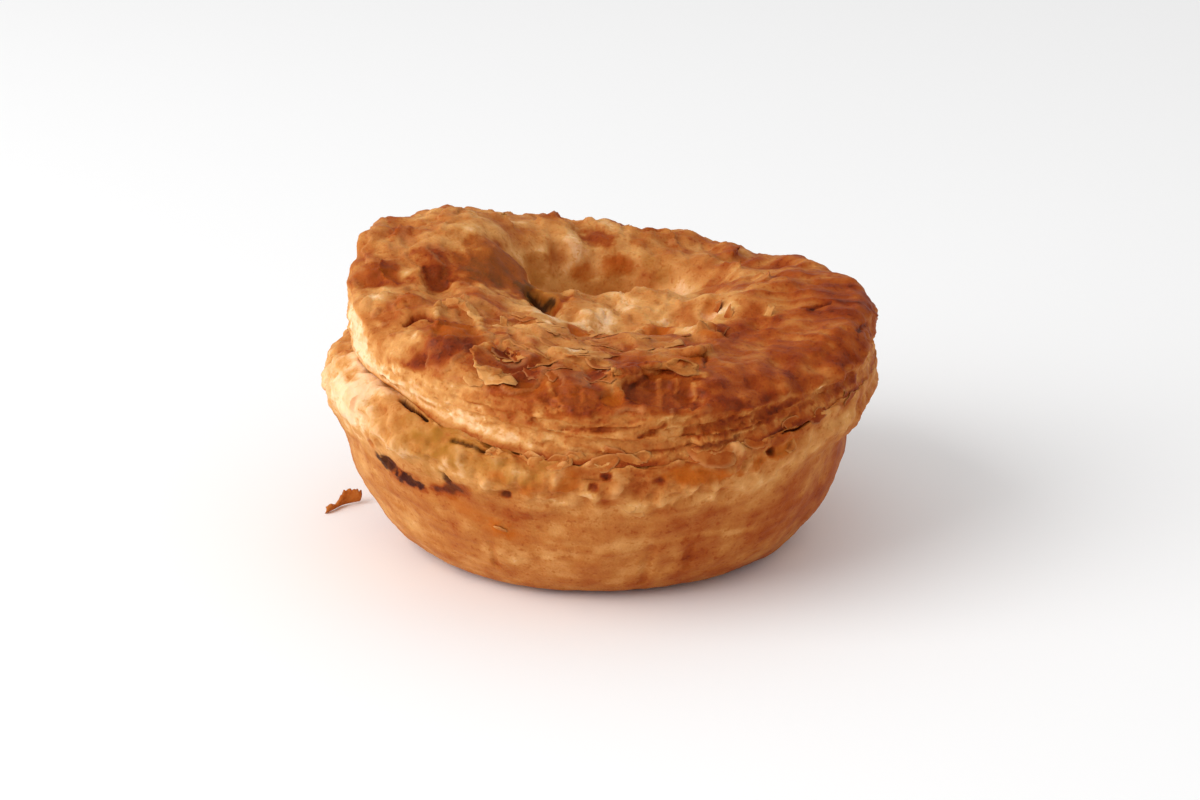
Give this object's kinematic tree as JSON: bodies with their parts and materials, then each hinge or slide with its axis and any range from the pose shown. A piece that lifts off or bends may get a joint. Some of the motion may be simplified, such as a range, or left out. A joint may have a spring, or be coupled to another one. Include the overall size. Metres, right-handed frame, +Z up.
{
  "type": "savoury pie",
  "caption": "Small round baked pie: a tapered pastry case under a puffed, browned, flaky pastry lid with a sunken middle and a small vent.",
  "frame": {"origin": "on the surface that the pie stands on, under the middle of its outline", "axes": "+Z up; +Y away from the side that the picture shows; +X to the right of that side"},
  "size_m": [0.1096, 0.108, 0.0595],
  "materials": {
    "case_pastry": "baked shortcrust pastry, matte, pale golden brown",
    "lid_pastry": "baked egg-washed puff pastry, satin, red-brown on its high places and pale in the middle"
  },
  "bodies": {
    "root": {"case": "case_pastry", "lid": "lid_pastry"}
  },
  "joints": []
}
